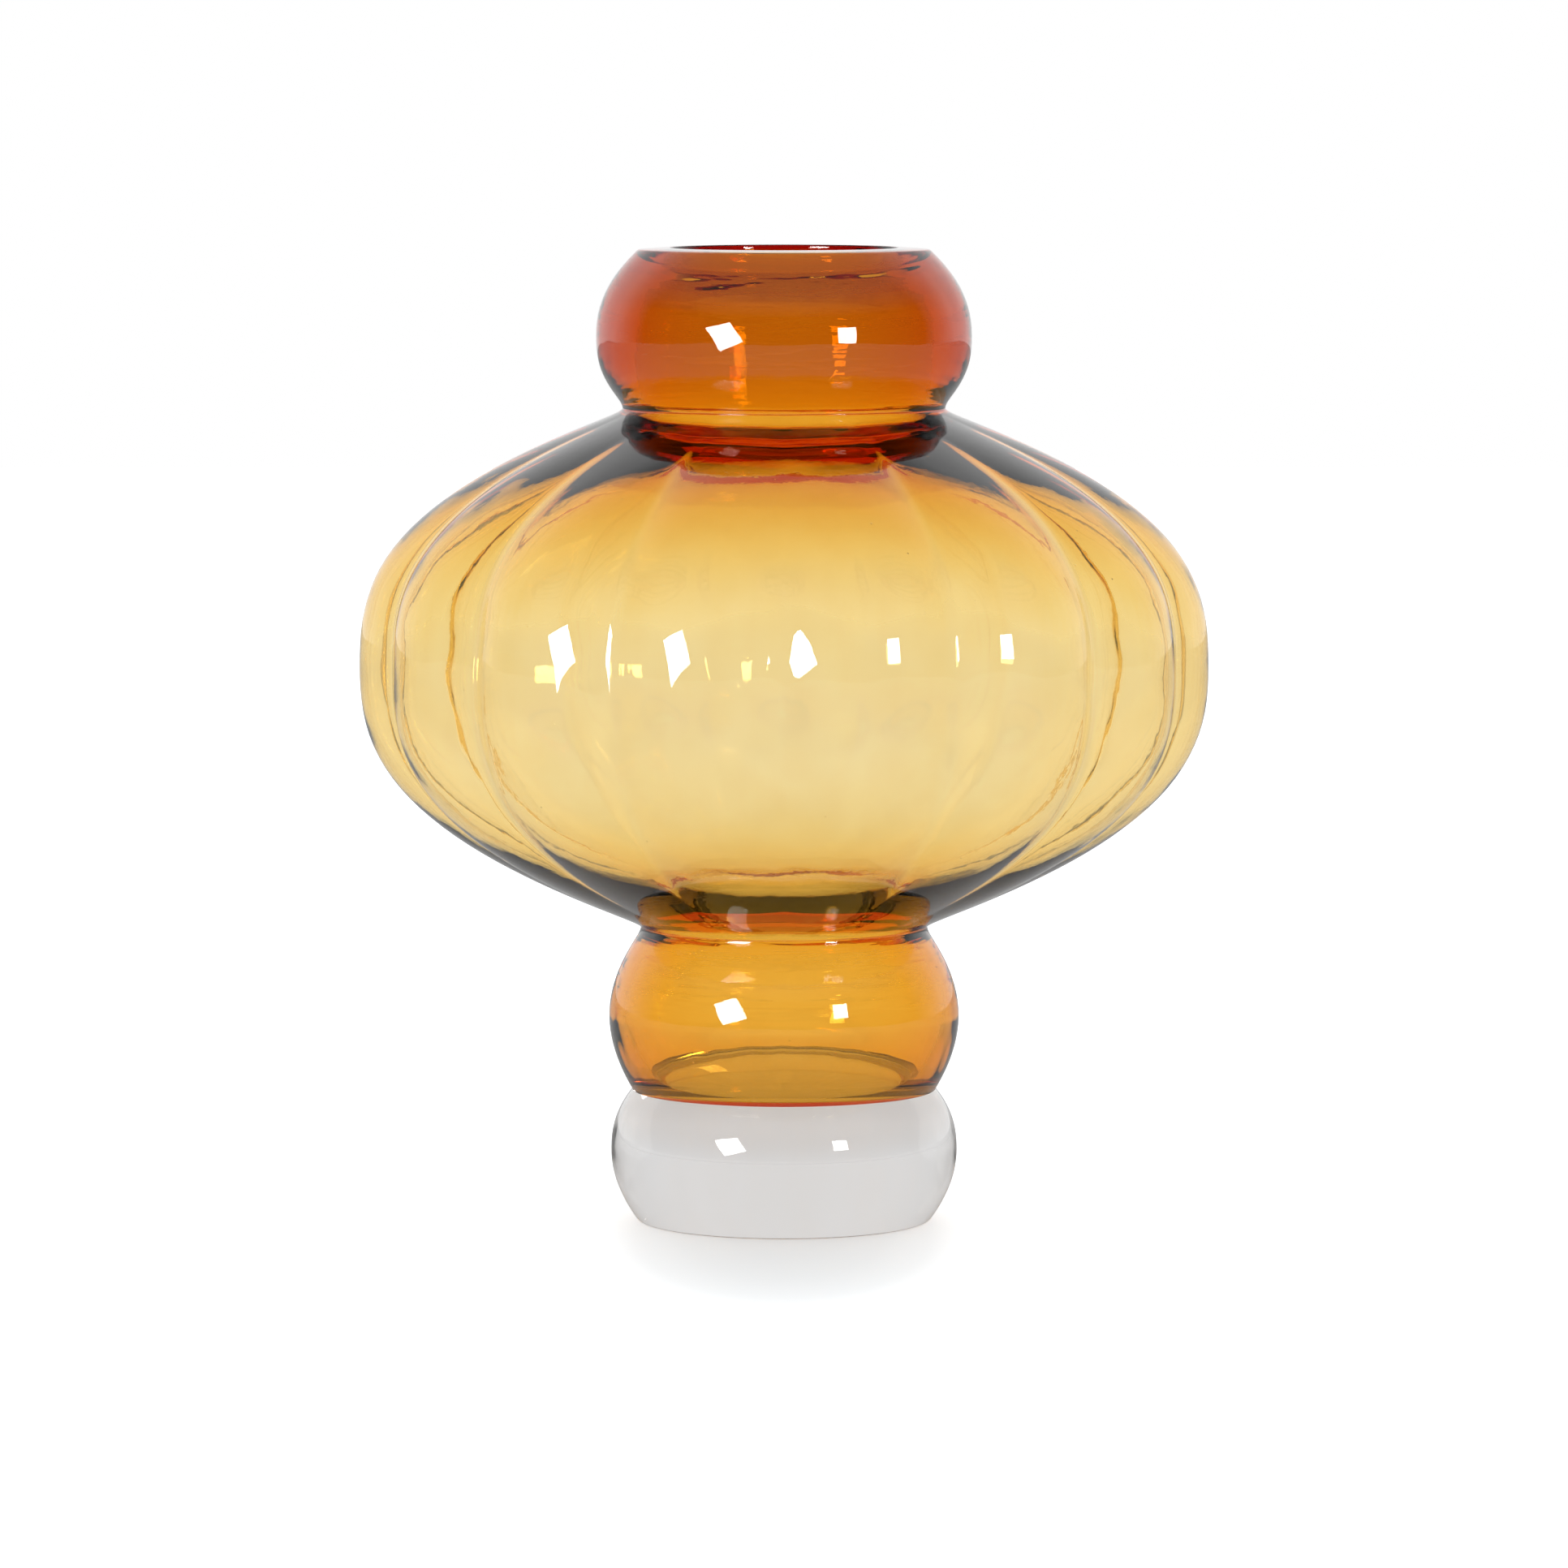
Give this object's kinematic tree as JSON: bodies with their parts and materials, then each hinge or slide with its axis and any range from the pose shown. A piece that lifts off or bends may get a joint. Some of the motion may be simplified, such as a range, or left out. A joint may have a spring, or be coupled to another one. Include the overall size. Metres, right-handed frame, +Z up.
{
  "type": "glass vase",
  "caption": "Blown glass vase: a wide ribbed amber globe pinched between two small round bulbs, open at a thick cut rim, on a solid clear glass foot.",
  "frame": {"origin": "centre of the flat resting face under the clear foot", "axes": "+Z up the axis of the vase; -Y out through a crease between two ribs"},
  "size_m": [0.347, 0.3457, 0.4],
  "materials": {
    "clear_glass": "polished, colourless",
    "amber_glass": "polished, transparent amber"
  },
  "bodies": {
    "root": {"clear_foot": "clear_glass", "lower_bulb": "amber_glass", "ribbed_globe": "amber_glass", "mouth_bulb": "amber_glass"}
  },
  "joints": []
}
